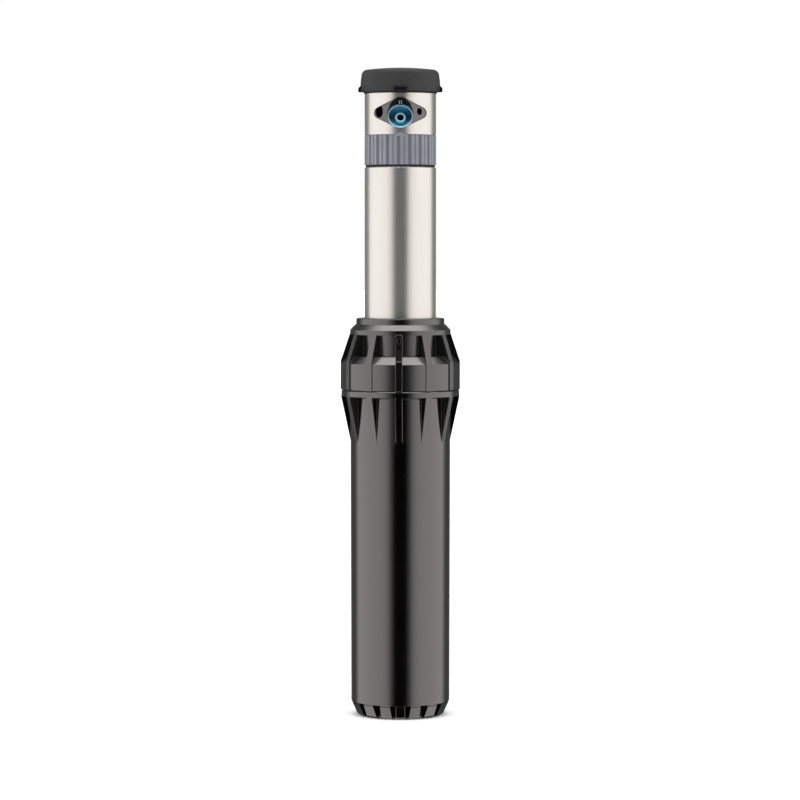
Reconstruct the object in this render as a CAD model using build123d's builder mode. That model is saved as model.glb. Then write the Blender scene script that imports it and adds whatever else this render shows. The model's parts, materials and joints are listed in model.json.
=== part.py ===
from build123d import *

import os
from math import asin, cos, degrees, radians, sin, tan

# A gear-driven pop-up rotor sprinkler, standing popped up on its base.
# Z is up along the riser, the can's bottom is at z = 0 and the nozzle faces -Y.
# Every height below is for the popped-up pose, in millimetres.

# ---- driving dimensions -------------------------------------------------
stroke = 101.6  # travel of the riser, four inches
running_gap = 0.1  # between pieces that move on each other
slip = 0.05  # between a piece and the seat that it is pushed into
touch = 0.5  # how far a rib or boss is sunk into the wall that carries it
past = 1.0  # how far a cut runs past the face that it opens
edge = 0.3  # edge break of a moulded piece

# can
base_radius = 19.85
taper_top = 6.55
can_low_radius = 22.67
can_high_radius = 22.95
can_bore_radius = 20.7
floor_bottom = 13.5
floor_top = 16.0
inlet_radius = 12.1  # minor radius of a 3/4 inch pipe thread
inlet_boss_radius = 15.4
throat_radius = 9.0
neck_radius = 23.4
neck_top = 160.3
flange_radius = 27.2
flange_bottom = 147.2
flange_top = 150.2
gusset_bottom = 126.9
rib_count = 12
rib_width = 3.0
rib_turn = -1.5  # the rib pattern stands this many degrees off the nozzle's side
spline_count = 4
spline_width = 2.0
spline_radius = 20.15

# screw cap on the can
cap_bottom = 150.3
cap_band_top = 162.5
cap_panel_radius = 27.0
cap_rib_radius = 27.45
cap_rib_bend = 163.7  # where a rib starts to lean in to the ring
cap_neck_radius = 20.0
cap_ring_radius = 23.2
cap_ring_bottom = 175.7
cap_ring_top = 177.8
cap_top_radius = 20.35
cap_top = 183.3
cap_shoulder = 161.9
cap_bore_radius = 16.75
cap_chamber_radius = 18.2
cap_throat_bottom = 173.4

# riser
seat_gap = 2.0  # from the can's floor to the riser's foot when the riser is down
riser_bottom = floor_top + seat_gap + stroke
riser_tube_radius = 16.03
riser_bore_radius = 14.2
sleeve_radius = 16.43
sleeve_bore_radius = 16.08
sleeve_top = 252.3
riser_flange_bottom = 126.0
riser_flange_top = 128.5
riser_flange_radius = 19.4
bearing_plate_bottom = 247.8
bearing_plate_top = 251.8
bush_outer_radius = 10.8
bearing_flange_radius = 12.6
tube_bearing_radius = 9.55

# spring round the riser
spring_wire_radius = 0.75
spring_mean_radius = 18.4
spring_turns = 15
spring_top = 156.5

# gear train: the same pair of tooth numbers in every stage
gear_module = 0.35
tooth_addendum = 0.85  # these four are in modules
tooth_dedendum = 1.2
tooth_half_root = 0.95
tooth_half_tip = 0.3
pinion_teeth = 9
gear_teeth = 27
stage_count = 6
gear_width = 3.0
gear_level_pitch = 5.0
first_gear_level = 177.5
gear_pin_radius = 0.6
gear_hub_radius = 1.1
gear_centre_distance = gear_module * (pinion_teeth + gear_teeth) / 2
capsule_radius = 13.0
capsule_bore_radius = 12.0
capsule_base_bottom = 173.0
capsule_base_top = 176.0
capsule_lid_bottom = 208.0
capsule_lid_top = 211.5

# stator, bypass valve and reversing lever
stator_bottom = 151.0
stator_plate_bottom = 157.0
stator_plate_top = 160.0
valve_guide_bottom = 153.5
valve_guide_top = 155.0
valve_throat_radius = 4.0
valve_stem_radius = 1.0
jet_radius = 0.9
jet_place = (-7.2, 4.6)
trip_axis_x = -10.9
trip_shaft_radius = 0.75
trip_angle = 28.0
turbine_radius = 9.6
turbine_bottom = 164.3
turbine_top = 171.3
blade_count = 12

# drive tube and arc setting
tube_bore_radius = 6.4
cup_bottom = 223.0
cup_top = 230.6
cup_bore_radius = 7.5
cup_radius = 8.6
tube_top = 262.0
tab_bottom = 219.6
tab_half_angle = 8.0
arc_ring_teeth = 33
adjuster_angle = 36.87
adjuster_radius = 1.1
adjuster_distance = gear_module * (arc_ring_teeth - pinion_teeth) / 2
adjuster_top = 288.5

# turret
grip_radius = 16.45
grip_bottom = 253.4
grip_top = 266.8
grip_flutes = 20
turret_sleeve_radius = 16.4
turret_sleeve_bore_radius = 16.05
turret_sleeve_bottom = 267.1
turret_sleeve_top = 285.9
housing_radius = 16.0
housing_core_radius = 12.45
housing_top = 283.9
arrow_width = 5.7
arrow_top = 268.1
window_height = 276.8
window_half_width = 12.0
window_slope = 26.1
window_side_fillet = 2.8
window_tip_fillet = 3.0
nozzle_radius = 6.0
nozzle_tilt = 25.0
nozzle_length = 11.5
nozzle_centre = (0, -13.7, 275.5)
screw_radius = 1.2
screw_y = -13.2
screw_bottom = 280.4
screw_top = 289.5
boss_radius = 15.2
boss_top = 290.5
rubber_bottom = 286.1
rubber_radius = 18.3
rubber_top = 297.8
ear_radius = 19.3


# ---- helpers --------------------------------------------------------------
def facing(angle):
    """The angle about Z of a place seen this many degrees to the right of the nozzle."""
    return angle - 90


def radial_plane(angle):
    """A plane through Z at this angle: its X runs outwards and its Y runs up."""
    turn = radians(angle)
    return Plane(origin=(0, 0, 0), x_dir=(cos(turn), sin(turn), 0), z_dir=(sin(turn), -cos(turn), 0))


def outline(points, plane=Plane.XZ):
    """A flat face with these corners, (radius, height) on the planes used here."""
    with BuildSketch(plane, mode=Mode.PRIVATE) as face:
        with BuildLine():
            Polyline(*points, close=True)
        make_face()
    return face.sketch


def ring(outer, inner, height):
    """A flat ring, or a disc where the inner radius is zero, at this height."""
    with BuildSketch(Plane.XY.offset(height), mode=Mode.PRIVATE) as face:
        Circle(outer)
        if inner:
            Circle(inner, mode=Mode.SUBTRACT)
    return face.sketch


def sector(inner, outer, middle, half_angle, height):
    """A flat piece of a ring, this many degrees to each side of its middle."""
    ends = [middle - half_angle, middle, middle + half_angle]
    far = [(outer * cos(radians(a)), outer * sin(radians(a))) for a in ends]
    near = [(inner * cos(radians(a)), inner * sin(radians(a))) for a in ends]
    with BuildSketch(Plane.XY.offset(height), mode=Mode.PRIVATE) as face:
        with BuildLine():
            ThreePointArc(*far)
            Line(far[2], near[2])
            ThreePointArc(*reversed(near))
            Line(near[0], far[0])
        make_face()
    return face.sketch


def toothed(teeth, first_tooth, height, centre=(0, 0), internal=False):
    """A spur gear's outline, with one tooth's middle at the angle first_tooth.

    The teeth are slim straight-sided stand-ins for involutes, so that they run free.
    """
    pitch_radius = gear_module * teeth / 2
    sign = -1 if internal else 1
    tip = pitch_radius + sign * tooth_addendum * gear_module
    root = pitch_radius - sign * tooth_dedendum * gear_module
    step = 360 / teeth
    half_at_root = degrees(tooth_half_root * gear_module / root)
    half_at_tip = degrees(tooth_half_tip * gear_module / tip)
    points = []
    for tooth in range(teeth):
        middle = first_tooth + tooth * step
        for radius, offset in (
            (root, -half_at_root),
            (tip, -half_at_tip),
            (tip, half_at_tip),
            (root, half_at_root),
        ):
            turn = radians(middle + offset)
            points.append((centre[0] + radius * cos(turn), centre[1] + radius * sin(turn)))
    return outline(points, Plane.XY.offset(height))


def rod(radius, bottom, top, centre=(0, 0)):
    """A round bar along Z. It is made apart, so that it can be added or cut."""
    x, y = centre
    return Pos(x, y, (bottom + top) / 2) * Cylinder(radius, top - bottom, mode=Mode.PRIVATE)


def bar(inner, outer, width, bottom, top, angle):
    """A radial bar along Z, between two radii. It is made apart, as a rod is."""
    beam = Box(outer - inner, width, top - bottom, mode=Mode.PRIVATE)
    return Rot(0, 0, angle) * Pos((inner + outer) / 2, 0, (bottom + top) / 2) * beam


def block(centre, length, width, bottom, top):
    """An upright block along X, Y and Z round this centre. It is made apart, as a rod is."""
    x, y = centre
    return Pos(x, y, (bottom + top) / 2) * Box(length, width, top - bottom, mode=Mode.PRIVATE)


def coil(wire, radius, turns, bottom, top):
    """A compression spring's wire, swept along its helix."""
    rise = top - bottom - 2 * wire
    with BuildPart(mode=Mode.PRIVATE) as spring:
        with BuildLine(mode=Mode.PRIVATE) as path:
            Helix(rise / turns, rise, radius, center=(0, 0, bottom + wire))
        with BuildSketch(path.line ^ 0):
            Circle(wire)
        sweep(path=path.line, is_frenet=True)
    return spring.part


def save(piece, name):
    """Labels a finished piece and writes it under its node's name."""
    piece.part.label = name
    export_step(piece.part, f"parts/{name}.step")


os.makedirs("parts", exist_ok=True)
rib_angles = [facing(rib_turn + 360 / rib_count * number) for number in range(rib_count)]

# ---- the can ----------------------------------------------------------------
# The base ring's teeth: seven on each side, and one each at the front and the back.
side_tooth_pitch = 24.2
side_teeth = [90 + side_tooth_pitch * number for number in range(-3, 4)]
base_teeth = sorted([0, 180] + side_teeth + [360 - angle for angle in side_teeth])
tooth_top = 5.8
tooth_groove_top = 6.5
tooth_groove_depth = 0.45
tooth_groove_slant = 0.25
notch_depth = 3.6  # right through the ring's wall
notch_foot_half_width = 1.0
notch_top_half_width = 2.0
foot_outer_radius = base_radius - 0.65
foot_inner_radius = base_radius - 2.3
seat_radius = throat_radius + 1.8  # raised seat of the check valve
seat_height = 0.8
web_thickness = 1.6
web_bottom = 1.5
can_wall = 1.2
spline_top = spring_top - 6

with BuildPart() as body_can:
    shell = [
        (foot_inner_radius, 0),
        (foot_outer_radius, 0),
        (base_radius - edge, edge),
        (base_radius + edge, 1.0),
        (can_low_radius, taper_top),
        (can_high_radius, gusset_bottom),
        (can_high_radius, flange_bottom - 2 * edge),
        (flange_radius - 2 * edge, flange_bottom),
        (flange_radius, flange_bottom + edge),
        (flange_radius, flange_top - edge),
        (flange_radius - edge, flange_top),
        (neck_radius, flange_top),
        (neck_radius, neck_top),
        (can_bore_radius, neck_top),
        (can_bore_radius, taper_top + can_wall),
    ]
    revolve(outline(shell), axis=Axis.Z)
    inlet = [
        (inlet_radius, 0),
        (inlet_boss_radius, 0),
        (inlet_boss_radius, floor_bottom),
        (can_bore_radius + touch, floor_bottom),
        (can_bore_radius + touch, floor_top),
        (seat_radius + 1.0, floor_top),
        (seat_radius + 0.8, floor_top + seat_height),
        (seat_radius + 0.2, floor_top + seat_height),
        (seat_radius, floor_top),
        (throat_radius, floor_top),
        (throat_radius, floor_bottom),
        (inlet_radius, floor_bottom),
    ]
    revolve(outline(inlet), axis=Axis.Z)
    # gussets under the flange
    for angle in rib_angles:
        gusset = [
            (can_high_radius - touch, gusset_bottom),
            (can_high_radius, gusset_bottom),
            (flange_radius, flange_bottom - edge),
            (flange_radius, flange_bottom + touch),
            (can_high_radius - touch, flange_bottom + touch),
        ]
        extrude(outline(gusset, radial_plane(angle)), amount=rib_width / 2, both=True)
    # webs between the inlet boss and every second tooth
    for tooth_angle in base_teeth[::2]:
        web = [
            (inlet_boss_radius - touch, web_bottom),
            (base_radius - can_wall, web_bottom),
            (can_low_radius - can_wall, taper_top + can_wall),
            (can_low_radius - can_wall, floor_bottom + touch),
            (inlet_boss_radius - touch, floor_bottom + touch),
        ]
        extrude(outline(web, radial_plane(facing(tooth_angle))), amount=web_thickness / 2, both=True)
    # splines that keep the ratchet ring from turning
    for number in range(spline_count):
        spline = bar(
            spline_radius,
            can_bore_radius + touch,
            spline_width,
            floor_top - touch,
            spline_top,
            facing(45 + 360 / spline_count * number),
        )
        add(spline)
    # groove over the base ring's teeth
    groove = [
        (can_low_radius - tooth_groove_depth - tooth_groove_slant, tooth_top),
        (can_low_radius + past, tooth_top),
        (can_low_radius + past, tooth_groove_top),
        (can_low_radius - tooth_groove_depth, tooth_groove_top),
    ]
    revolve(outline(groove), axis=Axis.Z, mode=Mode.SUBTRACT)
    # notches between the teeth, each wider at its top
    for left, right in zip(base_teeth, base_teeth[1:] + [360 + base_teeth[0]]):
        middle = facing((left + right) / 2)
        width_share = (right - left) / side_tooth_pitch
        notch_plane = Plane(
            origin=(0, 0, 0),
            x_dir=(-sin(radians(middle)), cos(radians(middle)), 0),
            z_dir=(cos(radians(middle)), sin(radians(middle)), 0),
        )
        foot_half = notch_foot_half_width * width_share
        top_half = notch_top_half_width * width_share
        notch = [
            (-foot_half, -past),
            (foot_half, -past),
            (top_half, tooth_groove_top),
            (-top_half, tooth_groove_top),
        ]
        wedge = extrude(outline(notch, notch_plane), amount=can_low_radius + past, mode=Mode.PRIVATE)
        behind = [
            (0, -2 * past),
            (base_radius - notch_depth, -2 * past),
            (base_radius - notch_depth, 0),
            (can_low_radius - notch_depth, tooth_groove_top + slip),
            (0, tooth_groove_top + slip),
        ]
        keep = revolve(outline(behind), axis=Axis.Z, mode=Mode.PRIVATE)
        add(wedge - keep, mode=Mode.SUBTRACT)
save(body_can, "body_can")

# ---- the screw cap ------------------------------------------------------------
# A band with ribs, a bevel in to the neck, a ring round the neck and a plain top.
cap_cone_height = 3.4
cap_cone_radius = 23.6
cap_ring_cone_height = 2.5
cap_ring_cone_radius = cap_top_radius + 0.55
cap_mouth_bevel = 0.7
lug_face_radius = 25.5
lug_half_width = 1.45
lug_bottom = 169.1
lug_arch_centre = 174.7
pit_height = 173.3
pit_length = 2.7
pit_width = 1.3
pit_depth = 1.2

with BuildPart() as body_cap:
    cover = [
        (neck_radius + running_gap, cap_bottom),
        (cap_panel_radius - edge, cap_bottom),
        (cap_panel_radius, cap_bottom + edge),
        (cap_panel_radius, cap_band_top),
        (cap_cone_radius, cap_band_top + cap_cone_height),
        (cap_neck_radius, cap_band_top + cap_cone_height + edge),
        (cap_neck_radius, cap_ring_bottom),
        (cap_ring_radius, cap_ring_bottom),
        (cap_ring_radius, cap_ring_top),
        (cap_ring_cone_radius, cap_ring_top + cap_ring_cone_height),
        (cap_top_radius, cap_ring_top + cap_ring_cone_height + slip),
        (cap_top_radius, cap_top - 2.5 * edge),
        (cap_top_radius - 0.75 * edge, cap_top - 0.75 * edge),
        (cap_top_radius - 2.5 * edge, cap_top),
        (cap_bore_radius + cap_mouth_bevel, cap_top),
        (cap_bore_radius, cap_top - cap_mouth_bevel),
        (cap_bore_radius, cap_throat_bottom),
        (cap_chamber_radius, cap_throat_bottom),
        (cap_chamber_radius, cap_shoulder),
        (neck_radius + running_gap, cap_shoulder),
    ]
    revolve(outline(cover), axis=Axis.Z)
    for angle in rib_angles:
        rib = [
            (cap_panel_radius - touch, cap_bottom),
            (cap_rib_radius - edge, cap_bottom),
            (cap_rib_radius, cap_bottom + edge),
            (cap_rib_radius, cap_rib_bend),
            (cap_rib_radius - edge, cap_rib_bend + 2 * edge),
            (cap_ring_radius + slip, cap_ring_bottom + edge),
            (cap_ring_radius - touch, cap_ring_top - touch),
            (cap_neck_radius - touch, cap_ring_bottom + touch),
            (cap_neck_radius - touch, cap_band_top + cap_cone_height - touch),
            (cap_cone_radius - touch, cap_band_top + cap_cone_height - touch),
            (cap_panel_radius - touch, cap_band_top - touch),
        ]
        extrude(outline(rib, radial_plane(angle)), amount=rib_width / 2, both=True)
    # the front rib carries an upright lug with an arched top and a pit
    lug_plane = Plane(
        origin=(0, 0, 0),
        x_dir=(cos(radians(rib_turn)), sin(radians(rib_turn)), 0),
        z_dir=(sin(radians(rib_turn)), -cos(radians(rib_turn)), 0),
    )
    with BuildSketch(lug_plane.offset(lug_face_radius)):
        lug_ends = (lug_half_width, lug_arch_centre), (-lug_half_width, lug_arch_centre)
        with BuildLine():
            Polyline(lug_ends[1], (-lug_half_width, lug_bottom), (lug_half_width, lug_bottom), lug_ends[0])
            ThreePointArc(lug_ends[0], (0, lug_arch_centre + lug_half_width), lug_ends[1])
        make_face()
    extrude(amount=cap_neck_radius - touch - lug_face_radius)
    with BuildSketch(lug_plane.offset(lug_face_radius)):
        with Locations((0, pit_height)):
            SlotOverall(pit_length, pit_width, rotation=90)
    extrude(amount=-pit_depth, mode=Mode.SUBTRACT)
save(body_cap, "body_cap")

# ---- seal and spring inside the cap ---------------------------------------------
seal_foot_radius = 22.9
seal_wall = 0.9
seal_radius = cap_chamber_radius - running_gap
seal_top = cap_throat_bottom - running_gap
lip_gap = 0.07
lip_fall = 1.2
lip_height = 0.8
with BuildPart() as wiper_seal:
    seal = [
        (seal_radius - seal_wall, neck_top),
        (seal_foot_radius, neck_top),
        (seal_foot_radius, cap_shoulder - running_gap),
        (seal_radius, cap_shoulder - running_gap),
        (seal_radius, seal_top),
        (seal_radius - seal_wall + edge, seal_top),
        (sleeve_radius + lip_gap, seal_top - lip_fall),
        (sleeve_radius + lip_gap, seal_top - lip_fall - lip_height),
        (seal_radius - seal_wall, seal_top - 2 * lip_fall - lip_height),
    ]
    revolve(outline(seal), axis=Axis.Z)
save(wiper_seal, "wiper_seal")

support_bore_radius = 16.9
support_radius = 20.5
with BuildPart() as seal_support_ring:
    extrude(ring(support_radius, support_bore_radius, spring_top), amount=neck_top - spring_top)
save(seal_support_ring, "seal_support_ring")

with BuildPart() as retraction_spring:
    spring_foot = riser_flange_top + running_gap
    spring_head = spring_top - running_gap
    add(coil(spring_wire_radius, spring_mean_radius, spring_turns, spring_foot, spring_head))
save(retraction_spring, "retraction_spring")

# ---- the riser's foot --------------------------------------------------------
ratchet_slots = 24
ratchet_slot_width = 1.0
ratchet_slot_depth = 0.7
ratchet_slot_inner = 17.2
ratchet_radius = can_bore_radius - 2 * running_gap
clip_groove_radius = riser_tube_radius - 0.5
clip_groove_bottom = riser_bottom + 1.0
clip_groove_height = 0.9
with BuildPart() as ratchet_ring:
    ratchet_bottom = riser_bottom + 2.0
    ratchet_top = riser_flange_bottom - running_gap
    ratchet_bore = riser_tube_radius + running_gap
    extrude(ring(ratchet_radius, ratchet_bore, ratchet_bottom), amount=ratchet_top - ratchet_bottom)
    for number in range(spline_count):
        notch = bar(
            spline_radius - 2 * running_gap,
            ratchet_radius + past,
            spline_width + touch,
            ratchet_bottom - past,
            ratchet_top + past,
            facing(45 + 360 / spline_count * number),
        )
        add(notch, mode=Mode.SUBTRACT)
    for number in range(ratchet_slots):
        slot = bar(
            ratchet_slot_inner,
            ratchet_radius - ratchet_slot_width,
            ratchet_slot_width,
            ratchet_top - ratchet_slot_depth,
            ratchet_top + past,
            360 / ratchet_slots * number,
        )
        add(slot, mode=Mode.SUBTRACT)
save(ratchet_ring, "ratchet_ring")

with BuildPart() as riser_tube:
    tube = [
        (riser_bore_radius, riser_bottom),
        (riser_tube_radius, riser_bottom),
        (riser_tube_radius, clip_groove_bottom),
        (clip_groove_radius, clip_groove_bottom),
        (clip_groove_radius, clip_groove_bottom + clip_groove_height),
        (riser_tube_radius, clip_groove_bottom + clip_groove_height),
        (riser_tube_radius, riser_flange_bottom),
        (riser_flange_radius, riser_flange_bottom),
        (riser_flange_radius, riser_flange_top),
        (riser_tube_radius, riser_flange_top),
        (riser_tube_radius, bearing_plate_top),
        (bush_outer_radius, bearing_plate_top),
        (bush_outer_radius, bearing_plate_bottom),
        (riser_bore_radius, bearing_plate_bottom),
    ]
    revolve(outline(tube), axis=Axis.Z)
    for number in range(ratchet_slots):
        slot = bar(
            ratchet_slot_inner,
            riser_flange_radius + past,
            ratchet_slot_width,
            riser_flange_bottom - past,
            riser_flange_bottom + ratchet_slot_depth,
            360 / ratchet_slots * number,
        )
        add(slot, mode=Mode.SUBTRACT)
save(riser_tube, "riser_tube")

clip_radius = 17.8
clip_opening = 4.0
with BuildPart() as ratchet_clip:
    clip_height = clip_groove_height - 2 * slip
    extrude(ring(clip_radius, clip_groove_radius, clip_groove_bottom + slip), amount=clip_height)
    opening = bar(
        clip_groove_radius - past,
        clip_radius + past,
        clip_opening,
        clip_groove_bottom - past,
        clip_groove_bottom + clip_groove_height + past,
        facing(180),
    )
    add(opening, mode=Mode.SUBTRACT)
save(ratchet_clip, "ratchet_clip")

sleeve_lip_radius = 14.6
sleeve_lip_height = 0.4
with BuildPart() as riser_sleeve:
    sleeve = [
        (sleeve_bore_radius, riser_flange_top),
        (sleeve_radius, riser_flange_top),
        (sleeve_radius, sleeve_top - edge),
        (sleeve_radius - edge, sleeve_top),
        (sleeve_lip_radius, sleeve_top),
        (sleeve_lip_radius, sleeve_top - sleeve_lip_height),
        (sleeve_bore_radius, sleeve_top - sleeve_lip_height),
    ]
    revolve(outline(sleeve), axis=Axis.Z)
save(riser_sleeve, "riser_sleeve")

valve_seal_radius = 14.8
valve_seal_height = 1.0
filter_mouth_radius = 9.9
insert_radius = riser_bore_radius - running_gap  # of what is pushed into the riser's bore
filter_ring_top = riser_bottom + 3.6
filter_ring_step = 1.0
filter_top = 144.0
screen_radius = 12.0
screen_bore_radius = 11.4
screen_top_wall = 0.8
screen_slots = 28
screen_slot_width = 1.5
screen_row_height = 5.0
screen_rows = (125.0, 131.2, 137.4)
with BuildPart() as check_valve_seal:
    seal_foot = riser_bottom - valve_seal_height
    extrude(ring(valve_seal_radius, filter_mouth_radius, seal_foot), amount=valve_seal_height)
    chamfer(check_valve_seal.edges().group_by(Axis.Z)[0], length=edge)
save(check_valve_seal, "check_valve_seal")

with BuildPart() as filter_ring:
    collar = [
        (filter_mouth_radius, riser_bottom),
        (insert_radius, riser_bottom),
        (insert_radius, filter_ring_top),
        (screen_radius + running_gap, filter_ring_top),
        (screen_radius + running_gap, filter_ring_top - filter_ring_step),
        (filter_mouth_radius, filter_ring_top - filter_ring_step),
    ]
    revolve(outline(collar), axis=Axis.Z)
save(filter_ring, "filter_ring")

with BuildPart() as filter_screen:
    basket = [
        (screen_bore_radius, filter_ring_top - filter_ring_step),
        (screen_radius, filter_ring_top - filter_ring_step),
        (screen_radius, filter_top),
        (0, filter_top),
        (0, filter_top - screen_top_wall),
        (screen_bore_radius, filter_top - screen_top_wall),
    ]
    revolve(outline(basket), axis=Axis.Z)
    for number in range(screen_slots):
        for row_bottom in screen_rows:
            slot = bar(
                screen_bore_radius - past,
                screen_radius + past,
                screen_slot_width,
                row_bottom,
                row_bottom + screen_row_height,
                360 / screen_slots * number,
            )
            add(slot, mode=Mode.SUBTRACT)
save(filter_screen, "filter_screen")

# ---- stator and bypass valve ------------------------------------------------------
stator_bore_radius = 13.2
valve_guide_radius = 2.4
guide_arm_width = 1.2
guide_arms = (0, 120, 240)
trip_hole_radius = trip_shaft_radius + running_gap
with BuildPart() as stator:
    skirt_height = stator_plate_bottom - stator_bottom
    extrude(ring(insert_radius, stator_bore_radius, stator_bottom), amount=skirt_height)
    plate_height = stator_plate_top - stator_plate_bottom
    extrude(ring(insert_radius, valve_throat_radius, stator_plate_bottom), amount=plate_height)
    guide_height = valve_guide_top - valve_guide_bottom
    guide_bore = valve_stem_radius + running_gap
    extrude(ring(valve_guide_radius, guide_bore, valve_guide_bottom), amount=guide_height)
    for angle in guide_arms:
        arm_ends = valve_guide_radius - touch, stator_bore_radius + touch
        add(bar(*arm_ends, guide_arm_width, valve_guide_bottom, valve_guide_top, angle))
    # two jets, and the hole for the trip shaft
    cut_ends = stator_plate_bottom - past, stator_plate_top + past
    for side in (-1, 1):
        add(rod(jet_radius, *cut_ends, (jet_place[0], side * jet_place[1])), mode=Mode.SUBTRACT)
    add(rod(trip_hole_radius, *cut_ends, (trip_axis_x, 0)), mode=Mode.SUBTRACT)
save(stator, "stator")

valve_foot = 146.6
clip_bottom = 147.0
clip_top = 148.0
poppet_radius = 4.8
poppet_rim = 0.8
poppet_tip_radius = 1.5
poppet_top = stator_plate_top + 1.6
poppet_clip_radius = 2.4
poppet_wire_radius = 0.18
poppet_spring_radius = 1.75
poppet_spring_turns = 6
with BuildPart() as bypass_poppet:
    poppet = [
        (0, valve_foot),
        (valve_stem_radius, valve_foot),
        (valve_stem_radius, stator_plate_top + running_gap),
        (poppet_radius, stator_plate_top + running_gap),
        (poppet_radius, stator_plate_top + poppet_rim),
        (poppet_tip_radius, poppet_top),
        (0, poppet_top),
    ]
    revolve(outline(poppet), axis=Axis.Z)
save(bypass_poppet, "bypass_poppet")

with BuildPart() as poppet_clip:
    extrude(ring(poppet_clip_radius, valve_stem_radius, clip_bottom), amount=clip_top - clip_bottom)
save(poppet_clip, "poppet_clip")

with BuildPart() as poppet_spring:
    spring_ends = clip_top + slip, valve_guide_bottom - slip
    add(coil(poppet_wire_radius, poppet_spring_radius, poppet_spring_turns, *spring_ends))
save(poppet_spring, "poppet_spring")

# ---- the gear capsule ---------------------------------------------------------------
side_axis = (gear_centre_distance, 0)
turbine_bush_radius = 3.0
turbine_shaft_radius = 1.0
output_shaft_radius = 1.9
shaft_seal_radius = 3.4
shaft_seal_height = 2.0
side_pin_ends = capsule_base_top - 2.0, capsule_lid_bottom + 1.5
lid_spigot_bottom = capsule_lid_bottom - 1.5
lid_bevel = 1.0
lug_count = 4
lug_width = 3.0
with BuildPart() as gearbox_base:
    extrude(ring(capsule_radius, 0, capsule_base_bottom), amount=capsule_base_top - capsule_base_bottom)
    for number in range(lug_count):
        lug_angle = 45 + 360 / lug_count * number
        lug_ends = capsule_radius - touch, insert_radius
        add(bar(*lug_ends, lug_width, capsule_base_bottom, capsule_base_top, lug_angle))
    cut_ends = capsule_base_bottom - past, capsule_base_top + past
    add(rod(turbine_bush_radius, *cut_ends), mode=Mode.SUBTRACT)
    add(rod(gear_pin_radius, side_pin_ends[0], capsule_base_top + past, side_axis), mode=Mode.SUBTRACT)
    add(rod(trip_hole_radius, *cut_ends, (trip_axis_x, 0)), mode=Mode.SUBTRACT)
save(gearbox_base, "gearbox_base")

with BuildPart() as turbine_bush:
    bush_height = capsule_base_top - capsule_base_bottom
    extrude(ring(turbine_bush_radius, turbine_shaft_radius + slip, capsule_base_bottom), amount=bush_height)
save(turbine_bush, "turbine_bush")

with BuildPart() as gearbox_shell:
    shell_height = capsule_lid_bottom - capsule_base_top
    extrude(ring(capsule_radius, capsule_bore_radius, capsule_base_top), amount=shell_height)
save(gearbox_shell, "gearbox_shell")

seal_pocket_bottom = capsule_lid_top - shaft_seal_height - 2 * running_gap
with BuildPart() as gearbox_lid:
    lid = [
        (0, lid_spigot_bottom),
        (capsule_bore_radius - slip, lid_spigot_bottom),
        (capsule_bore_radius - slip, capsule_lid_bottom),
        (capsule_radius, capsule_lid_bottom),
        (capsule_radius, capsule_lid_top - lid_bevel),
        (capsule_radius - lid_bevel, capsule_lid_top),
        (0, capsule_lid_top),
    ]
    revolve(outline(lid), axis=Axis.Z)
    cut_ends = lid_spigot_bottom - past, capsule_lid_top + past
    add(rod(output_shaft_radius + running_gap, *cut_ends), mode=Mode.SUBTRACT)
    add(rod(shaft_seal_radius, seal_pocket_bottom, capsule_lid_top + past), mode=Mode.SUBTRACT)
    add(rod(gear_pin_radius, lid_spigot_bottom - past, side_pin_ends[1], side_axis), mode=Mode.SUBTRACT)
    add(rod(trip_hole_radius, *cut_ends, (trip_axis_x, 0)), mode=Mode.SUBTRACT)
save(gearbox_lid, "gearbox_lid")

with BuildPart() as output_shaft_seal:
    seal_bore = output_shaft_radius + slip
    extrude(ring(shaft_seal_radius, seal_bore, seal_pocket_bottom), amount=shaft_seal_height)
save(output_shaft_seal, "output_shaft_seal")

with BuildPart() as side_gear_pin:
    add(rod(gear_pin_radius, *side_pin_ends, side_axis))
save(side_gear_pin, "side_gear_pin")

# ---- turbine and gears -----------------------------------------------------------------
# The pinion of each stage stands with a tooth on the line between the two shafts,
# and the gear that it drives stands with a gap there.
toward_side = 0
toward_centre = 180
half_tooth = 180 / gear_teeth
turbine_hub_radius = 2.6
turbine_roof = 1.0
blade_thickness = 0.7
pin_depth = 1.5  # how far the centre pin's ends stand in the shafts that hold it

with BuildPart() as turbine:
    turbine_height = turbine_top - turbine_bottom
    roof_bottom = turbine_top - turbine_roof
    extrude(ring(turbine_hub_radius, turbine_shaft_radius, turbine_bottom), amount=turbine_height)
    for number in range(blade_count):
        blade_ends = turbine_hub_radius - touch, turbine_radius
        add(bar(*blade_ends, blade_thickness, turbine_bottom, roof_bottom, 360 / blade_count * number))
    extrude(ring(turbine_radius, 0, roof_bottom), amount=turbine_roof)
    add(rod(turbine_shaft_radius, roof_bottom - past, turbine_top + past), mode=Mode.SUBTRACT)
save(turbine, "turbine")

with BuildPart() as turbine_shaft:
    add(rod(turbine_shaft_radius, turbine_bottom + touch, first_gear_level + touch))
    extrude(toothed(pinion_teeth, toward_side, first_gear_level), amount=gear_width)
    pinion_top = first_gear_level + gear_width
    add(rod(gear_pin_radius + running_gap, pinion_top - pin_depth, pinion_top + past), mode=Mode.SUBTRACT)
save(turbine_shaft, "turbine_shaft")

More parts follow.
